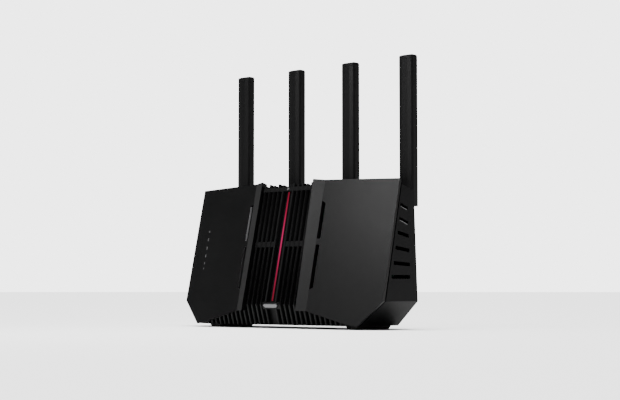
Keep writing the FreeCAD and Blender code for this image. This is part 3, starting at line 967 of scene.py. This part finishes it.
@dataclass
class CentreGrille:
    """Ribs, light bar, badge and the small pip above the bar."""

    fin_front: float = -44.17
    lean: float = 0.2288
    bend_z: float = 22.5
    belly_z: float = 3.2
    wrap_y: float = -33.2
    wrap_lean: float = -0.3
    top_z: float = 130.4
    first: float = 6.4
    pitch: float = 5.8
    fins_per_side: int = 5
    ribs_per_side: int = 15
    rib_half: float = 0.95
    nose: float = 0.55
    nose_sides: int = 12
    foot_lift: float = 0.2
    badge_half: float = 10.0
    above_badge_z: float = 25.2
    below_badge_z: float = 18.0
    tuck: float = 0.6
    slope_tuck: float = 0.8
    pip_z: float = 132.5
    pip_half_h: float = 1.3
    pip_half_w: float = 1.5
    pip_depth: float = 0.55
    pip_sink: float = 0.3
    pip_edge_mm: float = 0.2
    bar_edge_mm: float = 0.35
    badge_edge_mm: float = 0.25
    panel_low: tuple[float, float] = (44.0, 16.5)
    panel_end: tuple[float, float] = (90.3, 4.6)

    def front(self, z: float) -> float:
        """Y of the rib fronts at a height."""
        if z >= self.bend_z:
            return self.fin_front + self.lean * z
        low = self.wrap_y
        high = self.fin_front + self.lean * self.bend_z
        return low + (high - low) * (z - self.belly_z) / (self.bend_z - self.belly_z)

    def lower_front(self, z: float) -> float:
        """Y of the side ribs' fronts at a height."""
        return self.wrap_y + self.wrap_lean * (z - self.belly_z)

    def paths(self) -> Mesh:
        """The centre line of every rib's nose as a polyline mesh."""
        places: list[Triple] = []
        edges: list[tuple[int, int]] = []
        for i in range(self.ribs_per_side):
            for side in (-1, 1):
                x = side * (self.first + i * self.pitch)
                start = len(places)
                if i < self.fins_per_side:
                    heights = (self.belly_z + self.foot_lift, self.bend_z, self.top_z)
                    if abs(x) < self.badge_half:
                        heights = (self.above_badge_z, self.top_z)
                    places += [(x, self.front(z), z) for z in heights]
                else:
                    ends = (self.belly_z + self.foot_lift, self.under_panel(abs(x)))
                    places += [(x, self.lower_front(z), z) for z in ends]
                edges += [(k, k + 1) for k in range(start, len(places) - 1)]
        for side in (-1, 1):
            x = side * self.first
            start = len(places)
            ends = (self.belly_z + self.foot_lift, self.below_badge_z)
            places += [(x, self.front(z), z) for z in ends]
            edges.append((start, start + 1))
        mesh = bpy.data.meshes.new("rib_paths")
        mesh.from_pydata([tuple(c * MM for c in p) for p in places], edges, [])
        return mesh

    def under_panel(self, x: float) -> float:
        """Height of the visible top of a side rib, just under the panel's edge."""
        if x < self.panel_low[0]:
            return self.panel_low[1] - self.tuck
        rise = (self.panel_low[1] - self.panel_end[1]) / (self.panel_end[0] - self.panel_low[0])
        edge = self.panel_low[1] - rise * (x - self.panel_low[0])
        return max(edge - self.slope_tuck, self.belly_z + self.tuck)

    def noses(self) -> Object:
        """Rounded fronts of all ribs, swept along their paths."""
        recipe = Recipe("rib_noses")
        half = recipe.size("Half width", self.rib_half * MM)
        depth = recipe.size("Nose", self.nose * MM)
        sides = recipe.size("Sides", self.nose_sides)
        section = recipe.moved(recipe.ring(sides, 1.0), Scale=recipe.vector(half, depth, 1.0))
        lines = recipe.add("GeometryNodeMeshToCurve", {}, {0: recipe.given})
        upright = recipe.add("GeometryNodeSetCurveNormal", {"mode": "Z_UP"}, {0: lines})
        swept = recipe.sweep(upright, section)
        return recipe.run(self.paths(), swept, "rib_noses", "grille_plastic", SHELL)

    def pip(self) -> Object:
        """Small faceted lens above the light bar."""
        z = self.pip_z
        y = self.front(z) + self.pip_sink
        half_h = self.pip_half_h
        outline = [
            Vector((0.0, y + self.lean * -half_h, z - half_h)) * MM,
            Vector((self.pip_half_w, y, z)) * MM,
            Vector((0.0, y + self.lean * half_h, z + half_h)) * MM,
            Vector((-self.pip_half_w, y, z)) * MM,
        ]
        piece = prism("bar_pip", outline, Vector((0.0, -self.pip_depth * MM, 0.0)))
        return settle(rounded(piece, self.pip_edge_mm), SHELL, "status_grey")

    def build(self) -> None:
        """Make the noses, the bar, the badge and the pip."""
        self.noses()
        self.pip()
        softened("light_bar", SHELL, self.bar_edge_mm)
        softened("badge", SHELL, self.badge_edge_mm)


@dataclass
class RearCover:
    """Rear cover with its feet, its screws and painted highlights along the lower edges of its
    upper side vents.
    """

    edge_mm: float = 0.3
    foot_edge_mm: float = 0.5
    lip_x: float = 123.9
    lip_r: float = 0.36
    lip_sides: int = 10
    vent_half: float = 1.7
    lip_lines: tuple[tuple[float, float, float, float], ...] = (
        (0.6, 113.0, 10.0, 110.05), (-1.0, 100.3, 10.7, 96.85))
    head_r: float = 2.85
    head_h: float = 1.1
    head_sides: int = 40
    shank_sides: int = 24
    recess: float = 0.55
    cross_long: float = 3.3
    cross_wide: float = 0.7
    cutter_h: float = 1.4
    rear_y: float = 26.73
    rear_lean: float = -0.052
    head_sink: float = 0.05
    shank_r: float = 1.45
    shank_l: float = 10.9
    shank_bite: float = 0.2

    def screws(self) -> Object:
        """Cross-recessed screws, one in each boss."""
        low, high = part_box("cover_screws")
        inset = self.head_r * MM
        xs = (low.x + inset, high.x - inset)
        zs = (low.z + inset, high.z - inset)
        spots = []
        for x in xs:
            for z in zs:
                surface = self.rear_y + self.rear_lean * z / MM
                y = (surface - 0.5 * self.head_h - self.head_sink) * MM
                spots.append(Vector((x, y, z)))
        recipe = Recipe("cover_screws")
        radius = recipe.size("Radius", self.head_r * MM)
        height = recipe.size("Height", self.head_h * MM)
        depth = recipe.size("Recess", self.recess * MM)
        lift = recipe.math("MULTIPLY", height, 0.5)
        lift = recipe.math("SUBTRACT", lift, depth)
        lift = recipe.math("ADD", lift, 0.5 * self.cutter_h * MM)
        head = recipe.drum(self.head_sides, radius, height)
        for wide, long in ((self.cross_long, self.cross_wide), (self.cross_wide, self.cross_long)):
            bar = recipe.add(
                "GeometryNodeMeshCube", {}, {"Size": (wide * MM, long * MM, self.cutter_h * MM)})
            cutter = recipe.moved(bar, Translation=recipe.vector(0.0, 0.0, lift))
            head = recipe.add(
                "GeometryNodeMeshBoolean", {"operation": "DIFFERENCE", "solver": "EXACT"},
                {0: head, 1: cutter})
        below = -0.5 * (self.head_h + self.shank_l) + self.shank_bite
        shank = recipe.drum(self.shank_sides, self.shank_r * MM, self.shank_l * MM)
        shank = recipe.moved(shank, Translation=(0.0, 0.0, below * MM))
        screw = recipe.add("GeometryNodeMeshBoolean", {"operation": "UNION", "solver": "EXACT"})
        for part in (head, shank):
            recipe.tree.links.new(part, screw.node.inputs["Mesh 2"])
        facing = recipe.moved(screw, Rotation=(math.radians(-90.0), 0.0, 0.0))
        piece = recipe.scatter(spots, facing, "cover_screws_finished", "screw_steel")
        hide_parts("cover_screws")
        return piece

    def lips(self) -> Object:
        """Pale glowing rods along the lower edges of the upper side vents, painted highlights
        where each lower edge catches the light.
        """
        places: list[Vector] = []
        for side in Side:
            for y0, z0, y1, z1 in self.lip_lines:
                for y, z in ((y0, z0), (y1, z1)):
                    up = z - self.vent_half + self.lip_r
                    places.append(Vector((side.value * self.lip_x, y, up)) * MM)
        edges = [(i, i + 1) for i in range(0, len(places), 2)]
        lines = bpy.data.meshes.new("lip_lines")
        lines.from_pydata([tuple(p) for p in places], edges, [])
        recipe = Recipe("vent_lips")
        radius = recipe.size("Radius", self.lip_r * MM)
        path = recipe.add("GeometryNodeMeshToCurve", {}, {0: recipe.given})
        swept = recipe.sweep(path, recipe.ring(self.lip_sides, radius))
        # Painted highlight: the rods take the pale glowing strip finish.
        return recipe.run(lines, swept, "vent_lips", "status_grey", SHELL, PAINTED_LIGHT_STRIP)

    def build(self) -> None:
        """Make the cover, its feet, its screws and the painted vent highlights."""
        softened("rear_cover", SHELL, self.edge_mm)
        for side in Side:
            softened(f"foot_{side.word}", SHELL, self.foot_edge_mm)
        self.screws()
        self.lips()


@dataclass
class Sockets:
    """Network sockets with their lenses and sprung contact wires."""

    wan_x: float = 18.0
    lan_x: float = -30.0
    pitch: float = 15.2
    port_z: float = 22.0
    end_y: float = 25.9
    wires: int = 8
    lan_count: int = 4
    wire_pitch: float = 1.02
    wire_r: float = 0.2
    wire_sides: int = 8
    wire_steps: int = 10
    wire_inset: float = 13.2
    wire_drop: float = 4.35
    wire_reach: float = 9.4
    wire_rise: float = 1.45
    wire_near_pull: float = 1.5
    wire_far_pull: float = 7.0
    lamp_off: float = 5.0
    lamp_up: float = 5.3
    lamp_size: Triple = (2.4, 0.24, 1.3)
    block_edge_mm: float = 0.2

    def centres(self) -> list[float]:
        """X of every network socket."""
        middle = (self.lan_count - 1) / 2
        gang = [self.lan_x + (i - middle) * self.pitch for i in range(self.lan_count)]
        return [self.wan_x] + gang

    def contacts(self) -> Object:
        """Bent contact wires of every socket."""
        spots = []
        for centre in self.centres():
            for k in range(self.wires):
                x = centre + (k - (self.wires - 1) / 2) * self.wire_pitch
                spot = Vector((x, self.end_y - self.wire_inset, self.port_z - self.wire_drop))
                spots.append(spot * MM)
        recipe = Recipe("contact_wires")
        radius = recipe.size("Wire radius", self.wire_r * MM)
        reach = recipe.size("Reach", self.wire_reach * MM)
        rise = recipe.size("Rise", self.wire_rise * MM)
        wire = recipe.add(
            "GeometryNodeCurvePrimitiveBezierSegment", {},
            {"Resolution": self.wire_steps, "Start": recipe.vector(0.0, 0.0, rise),
             "Start Handle": recipe.vector(0.0, self.wire_near_pull * MM, rise),
             "End Handle": recipe.vector(0.0, self.wire_far_pull * MM, 0.0),
             "End": recipe.vector(0.0, reach, 0.0)})
        swept = recipe.sweep(wire, recipe.ring(self.wire_sides, radius))
        piece = recipe.scatter(spots, swept, "contact_wires", "contact_gold")
        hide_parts("jack_contacts")
        return piece

    def lenses(self) -> Object:
        """Two small link lamps over each socket."""
        spots = []
        for centre in self.centres():
            for side in (-1, 1):
                x = centre + side * self.lamp_off
                spots.append(Vector((x, self.end_y, self.port_z + self.lamp_up)) * MM)
        recipe = Recipe("link_lamps")
        width, depth, height = (
            recipe.size(label, size * MM)
            for label, size in zip(("Width", "Depth", "Height"), self.lamp_size))
        lens = recipe.add(
            "GeometryNodeMeshCube", {}, {"Size": recipe.vector(width, depth, height)})
        return recipe.scatter(spots, lens, "link_lamps", "status_grey")

    def build(self) -> None:
        """Make the contacts and lamps, and round the socket blocks."""
        self.contacts()
        self.lenses()
        for node in ("lan_port_block", "wan_port", "usb_port", "power_jack"):
            softened(node, SHELL, self.block_edge_mm)


@dataclass
class Buttons:
    """Push caps on the rear."""

    edge_mm: float = 0.4

    def build(self) -> None:
        """Round each cap; it rides on its own key."""
        for key in Key:
            softened(f"{key.value}_button", f"{key.value}_key", self.edge_mm)


@dataclass
class Antenna:
    """One blade with its cap, its fork and the grip ridges of its disc."""

    number: int
    hinge_z: float = 105.0
    disc_y: float = 25.3
    disc_r: float = 7.5
    ridges: int = 30
    ridge_r: float = 0.35
    ridge_l: float = 3.0
    ridge_sides: int = 8
    edge_mm: float = 0.3
    mount_edge_mm: float = 0.25
    mount_round_above_deg: float = 30.0

    @property
    def blade(self) -> str:
        """Body of the swinging blade."""
        return f"antenna_{self.number}_blade"

    @property
    def base(self) -> str:
        """Body of the turning base."""
        return f"antenna_{self.number}_base"

    def grip(self) -> Object:
        """Fine ridges round the turning disc."""
        low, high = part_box(f"antenna_{self.number}_mount")
        centre = Vector(((low.x + high.x) / 2, self.disc_y * MM, self.hinge_z * MM))
        recipe = Recipe(f"grip_{self.number}")
        radius = recipe.size("Radius", self.disc_r * MM)
        count = recipe.size("Ridges", self.ridges)
        circle = recipe.add("GeometryNodeMeshCircle", {}, {"Vertices": count, "Radius": radius})
        ridge = recipe.drum(self.ridge_sides, self.ridge_r * MM, self.ridge_l * MM)
        turned = recipe.moved(
            recipe.repeat(circle, ridge), Rotation=(math.radians(90.0), 0.0, 0.0),
            Translation=tuple(centre))
        return recipe.run(
            points_mesh("grip_start", []), turned, f"antenna_{self.number}_grip",
            "hinge_plastic", self.base)

    def build(self) -> None:
        """Make all the pieces of this antenna."""
        softened(f"antenna_{self.number}_housing", self.blade, self.edge_mm)
        softened(f"antenna_{self.number}_cap", self.blade, self.edge_mm)
        softened(
            f"antenna_{self.number}_mount", self.base, self.mount_edge_mm,
            self.mount_round_above_deg)
        self.grip()


# ---- the room

@dataclass(frozen=True)
class Lamp:
    """One soft rectangular lamp."""

    name: str
    place: Triple
    size: tuple[float, float]
    watts: float
    aim: Triple = (0.0, 0.0, 0.1)

    def make(self) -> None:
        """Put the lamp in the scene."""
        data = bpy.data.lights.new(self.name, "AREA")
        data.shape = "RECTANGLE"
        data.size, data.size_y = self.size
        data.energy = self.watts
        lamp = add_object(self.name, data)
        lamp.location = self.place
        lamp.visible_camera = False
        way = Vector(self.aim) - Vector(self.place)
        lamp.rotation_euler = way.to_track_quat("-Z", "Y").to_euler()


@dataclass
class Room:
    """Pale floor, soft lamps and a pale surround."""

    seen: float = 4.0
    felt: float = 0.06
    daylight: float = 10.0
    daylight_spread_deg: float = 40.0
    floor_half: float = 60.0
    floor_grain_mm: float = 400.0
    floor_dark: Triple = (0.87, 0.87, 0.87)
    floor_light: Triple = (0.89, 0.89, 0.89)
    floor_rough: float = 0.9
    floor_specular: float = 0.1
    lamps: tuple[Lamp, ...] = (
        Lamp("key", (0.07, -2.12, 1.04), (1.1, 0.8), 11.0),
        Lamp("near", (-0.045, -0.393, 0.345), (0.1, 0.1), 1.0, (0.12, 0.0, 0.12)),
        Lamp("fill", (-1.0, -1.82, 1.0), (1.0, 1.0), 3.5),
        Lamp("left", (-2.4, -0.1, 0.68), (0.8, 0.8), 1.8),
        Lamp("side", (2.4, 1.6, 0.8), (1.6, 1.6), 3.0),
    )

    def floor(self) -> None:
        """Lay the floor."""
        g = Graph("floor_pale")
        cloud = g.noise(g.place(), self.floor_grain_mm, 2.0)
        colour = g.blend(cloud, rgba(self.floor_dark), rgba(self.floor_light))
        finish = g.finish(
            Base_Color=colour, Roughness=self.floor_rough, Specular_IOR_Level=self.floor_specular)
        half = self.floor_half
        mesh = bpy.data.meshes.new("floor")
        mesh.from_pydata(
            [(-half, -half, 0), (half, -half, 0), (half, half, 0), (-half, half, 0)],
            [], [(0, 1, 2, 3)])
        floor = add_object("floor", mesh)
        floor.data.materials.append(finish)

    def surround(self) -> None:
        """Even pale backdrop that lights the object only softly."""
        world = bpy.data.worlds.new("surround")
        bpy.context.scene.world = world
        world.use_nodes = True
        tree = world.node_tree
        tree.nodes.clear()
        paths = tree.nodes.new("ShaderNodeLightPath")
        mix = tree.nodes.new("ShaderNodeMixShader")
        out = tree.nodes.new("ShaderNodeOutputWorld")
        tree.links.new(paths.outputs["Is Camera Ray"], mix.inputs[0])
        for index, strength in ((1, self.felt), (2, self.seen)):
            glow = tree.nodes.new("ShaderNodeBackground")
            glow.inputs["Color"].default_value = (1.0, 1.0, 1.0, 1.0)
            glow.inputs["Strength"].default_value = strength
            tree.links.new(glow.outputs[0], mix.inputs[index])
        tree.links.new(mix.outputs[0], out.inputs[0])

    def sky(self) -> None:
        """Soft light from straight above, even over the whole floor."""
        data = bpy.data.lights.new("daylight", "SUN")
        data.energy = self.daylight
        data.angle = math.radians(self.daylight_spread_deg)
        add_object("daylight", data)

    def build(self) -> None:
        """Make the floor, the surround and the lamps."""
        self.floor()
        self.surround()
        self.sky()
        for lamp in self.lamps:
            lamp.make()


def main() -> None:
    """Build the sub-assemblies in order, then the room."""
    logging.basicConfig(level=logging.INFO, format="%(message)s")
    Viewpoint().make()
    dress(*frame["nodes"])
    FrontPanels().build()
    CentreGrille().build()
    RearCover().build()
    Sockets().build()
    Buttons().build()
    for number in ANTENNAS:
        Antenna(number).build()
    Room().build()


if __name__ == "__main__":
    main()
